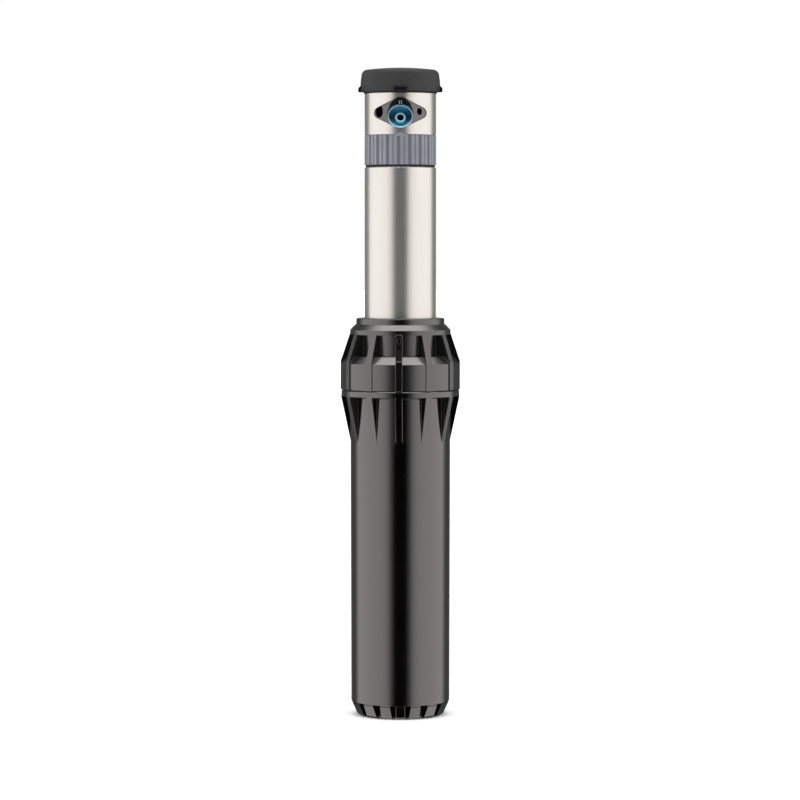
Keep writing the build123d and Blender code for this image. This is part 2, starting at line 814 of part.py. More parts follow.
first_boss_height = first_gear_level - capsule_base_top - running_gap
boss_height = gear_level_pitch - gear_width - running_gap
for stage in range(1, stage_count):
    on_side = stage % 2 == 1
    centre = side_axis if on_side else (0, 0)
    gear_level = first_gear_level + (stage - 1) * gear_level_pitch
    pinion_level = gear_level + gear_level_pitch
    gear_faces = toward_centre if on_side else toward_side
    boss_bottom = gear_level - (first_boss_height if stage == 1 else boss_height)
    with BuildPart() as compound_gear:
        extrude(toothed(gear_teeth, gear_faces + half_tooth, gear_level, centre), amount=gear_width)
        add(rod(gear_hub_radius, boss_bottom, pinion_level + touch, centre))
        extrude(toothed(pinion_teeth, gear_faces, pinion_level, centre), amount=gear_width)
        bore_ends = boss_bottom - past, pinion_level + gear_width + past
        add(rod(gear_pin_radius + running_gap, *bore_ends, centre), mode=Mode.SUBTRACT)
    save(compound_gear, f"compound_gear_{stage}")

last_level = first_gear_level + (stage_count - 1) * gear_level_pitch
pin_top = last_level + gear_width + pin_depth
spider_bottom = 233.0
spider_top = 237.0
with BuildPart() as output_shaft:
    extrude(toothed(gear_teeth, toward_side + half_tooth, last_level), amount=gear_width)
    add(rod(output_shaft_radius, last_level + touch, spider_top))
    add(rod(gear_pin_radius, last_level - past, pin_top), mode=Mode.SUBTRACT)
save(output_shaft, "output_shaft")

with BuildPart() as centre_gear_pin:
    add(rod(gear_pin_radius, first_gear_level + gear_width - pin_depth + running_gap, pin_top))
save(centre_gear_pin, "centre_gear_pin")

# ---- the reversing lever -----------------------------------------------------------------
# Its arm stands just outside the trip tabs, and its shutter closes one jet at a time.
reach = ((jet_place[0] - trip_axis_x) ** 2 + jet_place[1] ** 2) ** 0.5
jet_angle = degrees(asin(jet_place[1] / reach))
shutter_bottom = 155.6
shutter_top = 156.8
arm_bottom = tab_bottom + running_gap
arm_top = arm_bottom + 3.0
lever_hub_radius = 1.5
nose_length = 1.7
nose_width = 0.9
tail_length = 1.8
tail_width = 1.6
flap_radius = 1.25
wing_width = 1.1
lever_axis = (trip_axis_x, 0)
with BuildPart() as trip_arm:
    add(rod(lever_hub_radius, arm_bottom, arm_top, lever_axis))
    for inner, outer, width in ((0, nose_length, nose_width), (-tail_length, 0, tail_width)):
        add(Pos(trip_axis_x, 0, 0) * bar(inner, outer, width, arm_bottom, arm_top, -trip_angle / 2))
    add(rod(trip_shaft_radius, arm_bottom - past, arm_top + past, lever_axis), mode=Mode.SUBTRACT)
save(trip_arm, "trip_arm")

with BuildPart() as trip_shaft:
    add(rod(trip_shaft_radius, shutter_bottom - touch, arm_top, lever_axis))
save(trip_shaft, "trip_shaft")

with BuildPart() as jet_shutter:
    add(rod(lever_hub_radius, shutter_bottom, shutter_top, lever_axis))
    for wing_angle in (-jet_angle, jet_angle - trip_angle):
        turn = radians(wing_angle)
        flap_centre = (trip_axis_x + reach * cos(turn), reach * sin(turn))
        add(rod(flap_radius, shutter_bottom, shutter_top, flap_centre))
        wing = bar(0, reach, wing_width, shutter_bottom, shutter_top, wing_angle)
        add(Pos(trip_axis_x, 0, 0) * wing)
    add(rod(trip_shaft_radius, shutter_bottom - past, shutter_top + past, lever_axis), mode=Mode.SUBTRACT)
save(jet_shutter, "jet_shutter")

# ---- the turret's bearing and drive tube -----------------------------------------------------
flange_low = 243.6
flange_high = 246.0
with BuildPart() as thrust_washer:
    washer_bottom = flange_high + running_gap
    washer_height = bearing_plate_bottom - washer_bottom
    washer_bore = tube_bearing_radius + running_gap
    extrude(ring(bearing_flange_radius, washer_bore, washer_bottom), amount=washer_height)
save(thrust_washer, "thrust_washer")

with BuildPart() as turret_bush:
    bush_height = bearing_plate_top - bearing_plate_bottom
    bush_bore = tube_bearing_radius + running_gap
    extrude(ring(bush_outer_radius, bush_bore, bearing_plate_bottom), amount=bush_height)
save(turret_bush, "turret_bush")

adjuster_centre = (
    adjuster_distance * cos(radians(adjuster_angle)),
    adjuster_distance * sin(radians(adjuster_angle)),
)
spider_hub_radius = 3.0
spider_arm_width = 1.6
spider_turns = (60, 180, 300)
with BuildPart() as output_tube:
    tube = [
        (tube_bore_radius, cup_top),
        (cup_bore_radius, cup_top),
        (cup_bore_radius, cup_bottom),
        (cup_radius, cup_bottom),
        (cup_radius, flange_low),
        (bearing_flange_radius, flange_low),
        (bearing_flange_radius, flange_high),
        (tube_bearing_radius, flange_high),
        (tube_bearing_radius, tube_top),
        (tube_bore_radius, tube_top),
    ]
    revolve(outline(tube), axis=Axis.Z)
    # fixed trip tab
    tab_height = cup_bottom - tab_bottom + touch
    extrude(sector(cup_bore_radius, cup_radius, facing(0), tab_half_angle, tab_bottom), amount=tab_height)
    # spider that holds the output shaft, clear of the arc adjuster
    spider_height = spider_top - spider_bottom
    extrude(ring(spider_hub_radius, output_shaft_radius, spider_bottom), amount=spider_height)
    for turn in spider_turns:
        arm_ends = spider_hub_radius - touch, tube_bore_radius + touch
        add(bar(*arm_ends, spider_arm_width, spider_bottom, spider_top, adjuster_angle + turn))
save(output_tube, "output_tube")

arc_tab_angle = 25.0
arc_tab_inner_radius = 6.5
arc_ring_bottom = cup_bottom + 0.6
slot_depth = 1.2
slot_width = 0.5
with BuildPart() as arc_ring:
    arc_ring_top = cup_top - running_gap
    arc_ring_radius = cup_bore_radius - running_gap
    arc_ring_height = arc_ring_top - arc_ring_bottom
    # a gap of the inner teeth faces the adjuster's pinion
    arc_half_tooth = 180 / arc_ring_teeth
    first_tooth = adjuster_angle + arc_half_tooth
    inner_teeth = toothed(arc_ring_teeth, first_tooth, arc_ring_bottom, internal=True)
    extrude(ring(arc_ring_radius, 0, arc_ring_bottom) - inner_teeth, amount=arc_ring_height)
    # adjustable trip tab, beside the fixed one
    tab_place = facing(arc_tab_angle), tab_half_angle, tab_bottom
    inner_tab = sector(arc_tab_inner_radius, arc_ring_radius, *tab_place)
    extrude(inner_tab, amount=arc_ring_bottom - tab_bottom + running_gap)
    outer_tab = sector(arc_tab_inner_radius, cup_radius, *tab_place)
    extrude(outer_tab, amount=cup_bottom - tab_bottom - 2 * running_gap)
save(arc_ring, "arc_ring")

with BuildPart() as arc_adjuster:
    adjuster_bottom = arc_ring_bottom + 4 * running_gap
    adjuster_pinion = toothed(pinion_teeth, adjuster_angle, adjuster_bottom, adjuster_centre)
    extrude(adjuster_pinion, amount=cup_top - running_gap - adjuster_bottom)
    add(rod(adjuster_radius, cup_top - past, adjuster_top, adjuster_centre))
    slot_ends = adjuster_top - slot_depth, adjuster_top + past
    add(block(adjuster_centre, 3 * adjuster_radius, slot_width, *slot_ends), mode=Mode.SUBTRACT)
save(arc_adjuster, "arc_adjuster")

o_ring_wire_radius = 0.5
o_ring_height = 282.2
with BuildPart() as arc_adjuster_o_ring:
    with BuildSketch(Plane.XZ):
        with Locations((adjuster_radius + slip + o_ring_wire_radius, o_ring_height)):
            Circle(o_ring_wire_radius)
    revolve(axis=Axis.Z)
arc_adjuster_o_ring.part = Pos(adjuster_centre[0], adjuster_centre[1], 0) * arc_adjuster_o_ring.part
save(arc_adjuster_o_ring, "arc_adjuster_o_ring")

# ---- the turret's shells ------------------------------------------------------------------------
dust_seal_radius = 15.9
with BuildPart() as turret_dust_seal:
    seal_bottom = sleeve_top + slip
    extrude(ring(dust_seal_radius, tube_bearing_radius, seal_bottom), amount=grip_bottom - seal_bottom)
save(turret_dust_seal, "turret_dust_seal")


def arrow(clear):
    """The small peak over the front of the grip ring, or with clear, the notch that it fits."""
    half = arrow_width / 2 + clear
    foot = grip_top - touch
    corners = [(-half, foot), (half, foot), (half, grip_top), (0, arrow_top + clear), (-half, grip_top)]
    return outline(corners)


deep_flute_radius = 0.95
shallow_flute_radius = 0.65
flute_offset = 0.3  # of the cutters' centres outside the ring
flute_turn = -2.8  # the flute nearest the nozzle's side
with BuildPart() as grip_ring:
    with BuildSketch(Plane.XY.offset(grip_bottom)):
        Circle(grip_radius)
        with PolarLocations(grip_radius + flute_offset, grip_flutes, facing(flute_turn)):
            Circle(deep_flute_radius, mode=Mode.SUBTRACT)
        between = facing(flute_turn) + 180 / grip_flutes
        with PolarLocations(grip_radius + flute_offset, grip_flutes, between):
            Circle(shallow_flute_radius, mode=Mode.SUBTRACT)
        Circle(housing_core_radius, mode=Mode.SUBTRACT)
    extrude(amount=grip_top - grip_bottom)
    peak = extrude(arrow(0), amount=grip_radius + past, mode=Mode.PRIVATE)
    wall = rod(grip_radius, grip_top - touch, arrow_top)
    inside = rod(housing_radius + slip, grip_bottom, arrow_top + past)
    add(peak & (wall - inside))
save(grip_ring, "grip_ring")

# The nozzle's axis runs out to the front and up.
nozzle_plane = Plane(
    origin=nozzle_centre,
    x_dir=(1, 0, 0),
    z_dir=(0, -cos(radians(nozzle_tilt)), sin(radians(nozzle_tilt))),
)
port_height = 277.4
port_depth = 4.5
ports = ((-37.2, 5.5, 4.1), (33.2, 3.2, 2.7))  # angle, length and width
hood_depth = 1.0  # of the recess over the nozzle
hood_half_width = 4.7
hood_tip_half_width = 2.0
hood_bottom = 279.0
hood_bend = 280.7
chamber_top = 272.5
channel_length = 2.0  # from the chamber to the nozzle's back
channel_radius = 4.8
o_ring_seat_bottom = 281.6
key_centre = (-3.6, 3.2)
key_pocket_bottom = 280.0
key_pocket_radius = 2.6
key_slot = (4.6, 1.6)
with BuildPart() as turret_housing:
    core = [
        (tube_bearing_radius, grip_bottom),
        (housing_core_radius, grip_bottom),
        (housing_core_radius, grip_top),
        (housing_radius, grip_top),
        (housing_radius, housing_top),
        (0, housing_top),
        (0, chamber_top),
        (tube_bore_radius, chamber_top),
        (tube_bore_radius, tube_top),
        (tube_bearing_radius, tube_top),
    ]
    revolve(outline(core), axis=Axis.Z)
    # pocket of the nozzle, open to the front and to the water chamber
    with BuildSketch(nozzle_plane.offset(-nozzle_length)):
        Circle(nozzle_radius)
    extrude(amount=nozzle_length + nozzle_radius * 2, mode=Mode.SUBTRACT)
    with BuildSketch(nozzle_plane.offset(-nozzle_length - channel_length)):
        Circle(channel_radius)
    extrude(amount=channel_length + touch, mode=Mode.SUBTRACT)
    # side ports: a slot to the left of the nozzle and a round one to its right
    for port_angle, port_length, port_width in ports:
        turn = radians(facing(port_angle))
        port_plane = Plane(
            origin=(housing_radius * cos(turn), housing_radius * sin(turn), port_height),
            x_dir=(-sin(turn), cos(turn), 0),
            z_dir=(cos(turn), sin(turn), 0),
        )
        with BuildSketch(port_plane.offset(past)):
            SlotOverall(port_length, port_width, rotation=90)
        extrude(amount=-past - port_depth, mode=Mode.SUBTRACT)
    # recess over the nozzle, narrower towards its top
    hood = [
        (-hood_half_width, hood_bottom),
        (hood_half_width, hood_bottom),
        (hood_half_width, hood_bend),
        (hood_tip_half_width, housing_top),
        (-hood_tip_half_width, housing_top),
        (-hood_half_width, hood_bend),
    ]
    hood_cut = extrude(outline(hood), amount=housing_radius + past, mode=Mode.PRIVATE)
    hood_floor = rod(housing_radius - hood_depth, hood_bottom - past, housing_top + past)
    add(hood_cut - hood_floor, mode=Mode.SUBTRACT)
    cut_top = housing_top + past
    screw_hole = rod(screw_radius + running_gap, screw_bottom - past, cut_top, (0, screw_y))
    add(screw_hole, mode=Mode.SUBTRACT)
    add(rod(adjuster_radius + running_gap, tube_top, cut_top, adjuster_centre), mode=Mode.SUBTRACT)
    o_ring_seat_radius = adjuster_radius + 2 * o_ring_wire_radius + 2 * slip
    add(rod(o_ring_seat_radius, o_ring_seat_bottom, cut_top, adjuster_centre), mode=Mode.SUBTRACT)
    # room for the key's T under the lid
    add(rod(key_pocket_radius, key_pocket_bottom, cut_top, key_centre), mode=Mode.SUBTRACT)
save(turret_housing, "turret_housing")

with BuildPart() as turret_sleeve:
    band = ring(turret_sleeve_radius, turret_sleeve_bore_radius, turret_sleeve_bottom)
    extrude(band, amount=turret_sleeve_top - turret_sleeve_bottom)
    # window: a diamond with rounded corners, cut straight back through the front
    slope = radians(window_slope)
    corner_x = window_half_width + window_side_fillet * (1 / sin(slope) - 1)
    corner_y = corner_x * tan(slope)
    with BuildSketch(Plane.XZ) as window:
        with Locations((0, window_height)):
            Polygon((-corner_x, 0), (0, -corner_y), (corner_x, 0), (0, corner_y), align=None)
        fillet(window.vertices().group_by(Axis.Y)[1], radius=window_side_fillet)
        fillet(window.vertices().group_by(Axis.Y)[0], radius=window_tip_fillet)
        fillet(window.vertices().group_by(Axis.Y)[-1], radius=window_tip_fillet)
    extrude(amount=turret_sleeve_radius + past, mode=Mode.SUBTRACT)
    extrude(arrow(running_gap), amount=turret_sleeve_radius + past, mode=Mode.SUBTRACT)
save(turret_sleeve, "turret_sleeve")

with BuildPart() as turret_top_plate:
    plate = [
        (0, housing_top),
        (housing_radius, housing_top),
        (housing_radius, turret_sleeve_top),
        (boss_radius, turret_sleeve_top),
        (boss_radius, boss_top - edge),
        (boss_radius - edge, boss_top),
        (0, boss_top),
    ]
    revolve(outline(plate), axis=Axis.Z)
    cut_ends = housing_top - past, boss_top + past
    add(rod(screw_radius + running_gap, *cut_ends, (0, screw_y)), mode=Mode.SUBTRACT)
    add(rod(adjuster_radius + running_gap, *cut_ends, adjuster_centre), mode=Mode.SUBTRACT)
    add(block(key_centre, *key_slot, *cut_ends), mode=Mode.SUBTRACT)
save(turret_top_plate, "turret_top_plate")

# ---- nozzle, its screw and the rubber cap ---------------------------------------------------------
rim_wall = 0.65
rim_bevel = 0.2
nozzle_draft = 0.25  # on the recess's walls
recess_depth = 3.8
orifice_ring_radius = 2.55
orifice_radius = 1.45
orifice_depth = 1.65
orifice_length = 4.35
nozzle_back_wall = 1.6
with BuildPart() as nozzle:
    profile = [
        (nozzle_radius, -rim_bevel),
        (nozzle_radius - rim_bevel, 0),
        (nozzle_radius - rim_wall, 0),
        (nozzle_radius - rim_wall - nozzle_draft, -recess_depth),
        (orifice_ring_radius + nozzle_draft, -recess_depth),
        (orifice_ring_radius, -orifice_depth - rim_bevel),
        (orifice_ring_radius - rim_bevel, -orifice_depth),
        (orifice_radius + rim_bevel, -orifice_depth),
        (orifice_radius, -orifice_depth - rim_bevel),
        (orifice_radius, -orifice_depth - orifice_length),
        (nozzle_radius - nozzle_back_wall, -nozzle_length),
        (nozzle_radius, -nozzle_length),
    ]
    revolve(outline(profile), axis=Axis.Z)
nozzle.part = nozzle_plane.location * nozzle.part
save(nozzle, "nozzle")

hex_radius = 0.75
hex_depth = 1.8
with BuildPart() as nozzle_screw:
    add(rod(screw_radius, screw_bottom, screw_top, (0, screw_y)))
    chamfer(nozzle_screw.edges().group_by(Axis.Z)[0], length=edge)
    with BuildSketch(Plane.XY.offset(screw_top)):
        with Locations((0, screw_y)):
            RegularPolygon(hex_radius, 6)
    extrude(amount=-hex_depth, mode=Mode.SUBTRACT)
save(nozzle_screw, "nozzle_screw")

skirt_radius = 16.6
ear_count = 4
ear_width = 5.7
ear_bottom = rubber_bottom + 0.7
ear_top = 290.0
ear_edge_top = 288.4
membrane_bottom = 296.0
well_radius = 1.7
slit_width = 0.3
slit_length = 2.5
key_slit_length = 4.6
with BuildPart() as rubber_cap:
    skirt = [
        (boss_radius, boss_top),
        (boss_radius, rubber_bottom),
        (skirt_radius, rubber_bottom),
        (skirt_radius + edge, rubber_bottom + edge),
        (rubber_radius, 289.5),
        (rubber_radius - 0.14, 292.0),
        (rubber_radius - 0.5, 294.6),
    ]
    with BuildSketch(Plane.XZ):
        with BuildLine():
            Polyline(*skirt)
            shoulder = RadiusArc(skirt[-1], (16.0, 296.8), -2.6)
            dome = RadiusArc(shoulder @ 1, (0, rubber_top), -128.5)
            Polyline(dome @ 1, (0, boss_top), (boss_radius, boss_top))
        make_face()
    revolve(axis=Axis.Z)
    # four ears to lift it by, each with a sloped top
    for number in range(ear_count):
        ear = [
            (skirt_radius - touch, ear_bottom),
            (ear_radius - edge, ear_bottom),
            (ear_radius, ear_bottom + edge),
            (ear_radius, ear_edge_top),
            (rubber_radius - touch, ear_top),
            (skirt_radius - touch, ear_top),
        ]
        ear_plane = radial_plane(facing(360 / ear_count * number))
        extrude(outline(ear, ear_plane), amount=ear_width / 2, both=True)
    # wells over the screw, the adjuster and the key hole, closed by slit membranes
    well_ends = boss_top - past, membrane_bottom
    for centre in ((0, screw_y), adjuster_centre):
        add(rod(well_radius, *well_ends, centre), mode=Mode.SUBTRACT)
    add(block(key_centre, key_slot[0] + edge, key_slot[1] + edge, *well_ends), mode=Mode.SUBTRACT)
    slits = [
        ((0, screw_y), slit_length, slit_width),
        ((0, screw_y), slit_width, slit_length),
        (adjuster_centre, slit_length, slit_width),
        (adjuster_centre, slit_width, slit_length),
        (key_centre, key_slit_length, slit_width),
    ]
    for centre, length, width in slits:
        add(block(centre, length, width, membrane_bottom - touch, rubber_top + past), mode=Mode.SUBTRACT)
save(rubber_cap, "rubber_cap")
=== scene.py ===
import json
import math

import bpy
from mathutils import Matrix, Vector


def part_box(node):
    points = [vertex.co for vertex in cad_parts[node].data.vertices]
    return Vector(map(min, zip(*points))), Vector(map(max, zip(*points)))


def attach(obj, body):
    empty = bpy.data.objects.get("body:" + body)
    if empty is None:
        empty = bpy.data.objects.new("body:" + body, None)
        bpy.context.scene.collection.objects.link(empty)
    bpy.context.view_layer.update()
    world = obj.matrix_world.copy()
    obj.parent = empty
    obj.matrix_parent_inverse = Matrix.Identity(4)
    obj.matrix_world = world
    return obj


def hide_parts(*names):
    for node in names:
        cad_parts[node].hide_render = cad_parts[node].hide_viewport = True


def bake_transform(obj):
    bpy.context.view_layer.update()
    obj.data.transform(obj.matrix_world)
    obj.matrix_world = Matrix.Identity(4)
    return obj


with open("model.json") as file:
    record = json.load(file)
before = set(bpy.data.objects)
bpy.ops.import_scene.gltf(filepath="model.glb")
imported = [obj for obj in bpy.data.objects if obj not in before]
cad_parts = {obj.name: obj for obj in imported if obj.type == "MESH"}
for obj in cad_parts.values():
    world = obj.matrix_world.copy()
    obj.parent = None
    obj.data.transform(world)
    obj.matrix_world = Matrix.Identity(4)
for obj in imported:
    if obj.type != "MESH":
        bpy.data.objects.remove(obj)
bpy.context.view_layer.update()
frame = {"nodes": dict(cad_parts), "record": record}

MM = 0.001
SCENE = bpy.context.scene
SCENE.view_settings.view_transform = "Standard"
SCENE.view_settings.look = "None"


# ---- camera --------------------------------------------------------------------
# A long lens above the sprinkler's middle, tilted down by a few degrees.
CAMERA_PLACE = (-0.00016, -1.5, 0.2207)
CAMERA_TILT = math.radians(2.8754)
CAMERA_LENS = 146.62
CAMERA_SENSOR = 36.0
CAMERA_REACH = (0.01, 100.0)


def make_camera():
    data = bpy.data.cameras.new("camera")
    data.lens = CAMERA_LENS
    data.sensor_width = CAMERA_SENSOR
    data.clip_start, data.clip_end = CAMERA_REACH
    camera = bpy.data.objects.new("camera", data)
    camera.location = CAMERA_PLACE
    camera.rotation_euler = (math.pi / 2 - CAMERA_TILT, 0.0, 0.0)
    SCENE.collection.objects.link(camera)
    SCENE.camera = camera


# ---- studio ----------------------------------------------------------------------
# Plain white all round for the camera. What lights the object is a tall soft panel on
# each side and one overhead, with dark gaps at the front and behind the side panels, and
# a dim strip at the very back.
SIDE_LIGHT = 1.66
OVERHEAD_LIGHT = 3.6
WHITE = (1.0, 1.0, 1.0, 1.0)
# Share of a side panel's light, by the angle from the front in degrees.
SIDE_STOPS = (
    (0.0, 0.0),
    (13.0, 0.0),
    (21.0, 0.2),
    (29.0, 0.63),
    (39.0, 0.86),
    (51.0, 0.96),
    (75.0, 1.0),
    (98.0, 1.0),
    (113.0, 0.9),
    (126.0, 0.22),
    (136.0, 0.1),
    (162.0, 0.08),
    (172.0, 0.35),
    (180.0, 0.35),
)
# Share of the overhead panel's light, by the height of the direction, 1 being straight up.
OVERHEAD_STOPS = ((0.0, 0.0), (0.72, 0.0), (0.92, 1.0), (1.0, 1.0))
FLOOR_RADIUS = 12.0
FLOOR_SIDES = 96


def grey_ramp(tree, value, stops):
    """A ramp over a value: stops are (position, grey level) pairs."""
    return ramp(tree, value, [(place, (level, level, level)) for place, level in stops])


def math_node(tree, operation, first, second=None):
    """A sum on one or two values, each a number or a socket."""
    node = tree.nodes.new("ShaderNodeMath")
    node.operation = operation
    for place, value in enumerate((first, second)):
        if isinstance(value, float):
            node.inputs[place].default_value = value
        elif value is not None:
            tree.links.new(value, node.inputs[place])
    return node.outputs[0]


def make_world():
    """The panels, for every ray but the camera's own, which sees plain white."""
    world = bpy.data.worlds.new("studio")
    SCENE.world = world
    world.use_nodes = True
    tree = world.node_tree
    tree.nodes.clear()
    place = tree.nodes.new("ShaderNodeTexCoord")
    split = tree.nodes.new("ShaderNodeSeparateXYZ")
    tree.links.new(place.outputs["Generated"], split.inputs[0])
    front = math_node(tree, "MULTIPLY", split.outputs["Y"], -1.0)
    turn = math_node(tree, "ARCTAN2", split.outputs["X"], front)
    share = math_node(tree, "DIVIDE", math_node(tree, "ABSOLUTE", turn), math.pi)
    sides = grey_ramp(tree, share, [(angle / 180.0, level) for angle, level in SIDE_STOPS])
    above = grey_ramp(tree, split.outputs["Z"], OVERHEAD_STOPS)
    side_part = math_node(tree, "MULTIPLY", sides, SIDE_LIGHT)
    above_part = math_node(tree, "MULTIPLY", above, OVERHEAD_LIGHT)
    panels = tree.nodes.new("ShaderNodeBackground")
    panels.inputs["Color"].default_value = WHITE
    tree.links.new(math_node(tree, "MAXIMUM", side_part, above_part), panels.inputs["Strength"])
    plain = tree.nodes.new("ShaderNodeBackground")
    plain.inputs["Color"].default_value = WHITE
    path = tree.nodes.new("ShaderNodeLightPath")
    mix = tree.nodes.new("ShaderNodeMixShader")
    tree.links.new(path.outputs["Is Camera Ray"], mix.inputs[0])
    tree.links.new(panels.outputs[0], mix.inputs[1])
    tree.links.new(plain.outputs[0], mix.inputs[2])
    output = tree.nodes.new("ShaderNodeOutputWorld")
    tree.links.new(mix.outputs[0], output.inputs["Surface"])


def make_floor():
    """A wide pale floor. It is left out of reflections, so the gloss shows the panels."""
    mesh = bpy.data.meshes.new("floor")
    turns = [2 * math.pi * side / FLOOR_SIDES for side in range(FLOOR_SIDES)]
    rim = [(FLOOR_RADIUS * math.cos(turn), FLOOR_RADIUS * math.sin(turn), 0.0) for turn in turns]
    mesh.from_pydata(rim, [], [range(FLOOR_SIDES)])
    floor = bpy.data.objects.new("floor", mesh)
    SCENE.collection.objects.link(floor)
    floor.visible_glossy = False
    material, tree, shader = new_material("pale_floor")
    mottle = noise(tree, scale=1.5, detail=2.0)
    tone = ramp(tree, mottle, ((0.0, (0.88, 0.88, 0.88)), (1.0, (0.92, 0.92, 0.92))))
    tree.links.new(tone, shader.inputs["Base Color"])
    shader.inputs["Roughness"].default_value = 0.9
    shader.inputs["Specular IOR Level"].default_value = 0.0
    mesh.materials.append(material)


# ---- shader helpers -----------------------------------------------------------------
BEVEL_SAMPLES = 6


def new_material(name):
    """A new material with its node tree and shader."""
    material = bpy.data.materials.new(name)
    material.use_nodes = True
    tree = material.node_tree
    return material, tree, tree.nodes["Principled BSDF"]


def stretched(tree, stretch):
    """Object coordinates, stretched by a factor along X, Y and Z."""
    place = tree.nodes.new("ShaderNodeTexCoord")
    mapping = tree.nodes.new("ShaderNodeMapping")
    mapping.inputs["Scale"].default_value = stretch
    tree.links.new(place.outputs["Object"], mapping.inputs["Vector"])
    return mapping.outputs[0]


def noise(tree, scale, detail, roughness=0.5, stretch=(1.0, 1.0, 1.0)):
    """Soft noise from 0 to 1, over object coordinates in metres."""
    node = tree.nodes.new("ShaderNodeTexNoise")
    node.inputs["Scale"].default_value = scale
    node.inputs["Detail"].default_value = detail
    node.inputs["Roughness"].default_value = roughness
    tree.links.new(stretched(tree, stretch), node.inputs["Vector"])
    return node.outputs["Fac"]


def ramp(tree, value, stops):
    """A colour ramp over a value: stops are (position, colour) pairs."""
    node = tree.nodes.new("ShaderNodeValToRGB")
    elements = node.color_ramp.elements
    while len(elements) < len(stops):
        elements.new(0.5)
    for element, (position, colour) in zip(elements, stops):
        element.position = position
        element.color = (*colour, 1.0)
    tree.links.new(value, node.inputs[0])
    return node.outputs[0]


def spread(tree, value, low, high):
    """The value, 0 to 1, spread from low to high."""
    node = tree.nodes.new("ShaderNodeMapRange")
    node.inputs["To Min"].default_value = low
    node.inputs["To Max"].default_value = high
    tree.links.new(value, node.inputs["Value"])
    return node.outputs[0]


def mixed(tree, share, first, second):
    """Two colours or colour sockets, mixed by a share from 0 to 1."""
    node = tree.nodes.new("ShaderNodeMix")
    node.data_type = "RGBA"
    tree.links.new(share, node.inputs["Factor"])
    for socket, colour in ((node.inputs[6], first), (node.inputs[7], second)):
        if isinstance(colour, tuple):
            socket.default_value = (*colour, 1.0)
        else:
            tree.links.new(colour, socket)
    return node.outputs[2]


def between(tree, value, low, high):
    """0 below low, 1 above high, and a straight slope in between."""
    node = tree.nodes.new("ShaderNodeMapRange")
    node.inputs["From Min"].default_value = low
    node.inputs["From Max"].default_value = high
    tree.links.new(value, node.inputs["Value"])
    return node.outputs[0]


def axis_radius(tree):
    """The distance from the sprinkler's axis, in millimetres."""
    node = tree.nodes.new("ShaderNodeVectorMath")
    node.operation = "LENGTH"
    tree.links.new(stretched(tree, (1 / MM, 1 / MM, 0.0)), node.inputs[0])
    return node.outputs["Value"]


def along(tree, output, direction, offset=0.0):
    """A texture coordinate's share along this direction, plus an offset."""
    place = tree.nodes.new("ShaderNodeTexCoord")
    node = tree.nodes.new("ShaderNodeVectorMath")
    node.operation = "DOT_PRODUCT"
    tree.links.new(place.outputs[output], node.inputs[0])
    node.inputs[1].default_value = direction
    return math_node(tree, "ADD", node.outputs["Value"], offset)


def soft_edges(tree, radius):
    """Normals that are rounded over edges, as on moulded plastic."""
    node = tree.nodes.new("ShaderNodeBevel")
    node.samples = BEVEL_SAMPLES
    node.inputs["Radius"].default_value = radius
    return node.outputs[0]


def bump(tree, shader, height, strength, distance, under=None):
    """Gives the shader a relief, laid over the normals in under where they are given."""
    node = tree.nodes.new("ShaderNodeBump")
    node.inputs["Strength"].default_value = strength
    node.inputs["Distance"].default_value = distance
    tree.links.new(height, node.inputs["Height"])
    if under is not None:
        tree.links.new(under, node.inputs["Normal"])
    tree.links.new(node.outputs[0], shader.inputs["Normal"])


# ---- materials, one function for each kind ---------------------------------------------
BLACK_EDGE_RADIUS = 0.25 * MM
NOZZLE_EDGE_RADIUS = 0.15 * MM


def moulded_black(name, roughness, gloss):
    """Black moulded plastic: near-black, faint mottle, a soft orange peel, rounded edges."""
    material, tree, shader = new_material(name)
    mottle = noise(tree, scale=60.0, detail=4.0)
    tone = ramp(tree, mottle, ((0.3, (0.0010, 0.0009, 0.0009)), (0.75, (0.0026, 0.0023, 0.0023))))
    tree.links.new(tone, shader.inputs["Base Color"])
    smear = noise(tree, scale=35.0, detail=5.0, stretch=(1.0, 1.0, 0.3))
    tree.links.new(spread(tree, smear, roughness, roughness + 0.07), shader.inputs["Roughness"])
    shader.inputs["IOR"].default_value = 1.6
    shader.inputs["Specular IOR Level"].default_value = gloss
    shader.inputs["Specular Tint"].default_value = (1.0, 0.975, 0.965, 1.0)
    peel = noise(tree, scale=420.0, detail=2.0)
    bump(tree, shader, peel, 0.06, 0.0002, soft_edges(tree, BLACK_EDGE_RADIUS))
    return material


def brushed_steel(name):
    """Stainless tube, brushed lengthwise: fine streaks in its tone, gloss and bump."""
    material, tree, shader = new_material(name)
    streaks = noise(tree, scale=1.0, detail=4.0, stretch=(2200.0, 2200.0, 25.0))
    tone = ramp(tree, streaks, ((0.25, (0.530, 0.503, 0.470)), (0.75, (0.570, 0.543, 0.508))))
    tree.links.new(tone, shader.inputs["Base Color"])
    shader.inputs["Metallic"].default_value = 0.80
    tree.links.new(spread(tree, streaks, 0.17, 0.23), shader.inputs["Roughness"])
    bump(tree, shader, streaks, 0.035, 0.00005)
    return material


def plain_steel(name, tone_low, tone_high, roughness):
    """Small steel pieces: drawn wire, pins and screws."""
    material, tree, shader = new_material(name)
    grain = noise(tree, scale=900.0, detail=4.0, stretch=(1.0, 1.0, 0.2))
    tree.links.new(ramp(tree, grain, ((0.3, tone_low), (0.7, tone_high))), shader.inputs["Base Color"])
    shader.inputs["Metallic"].default_value = 1.0
    tree.links.new(spread(tree, grain, roughness, roughness + 0.12), shader.inputs["Roughness"])
    bump(tree, shader, grain, 0.08, 0.00005)
    return material


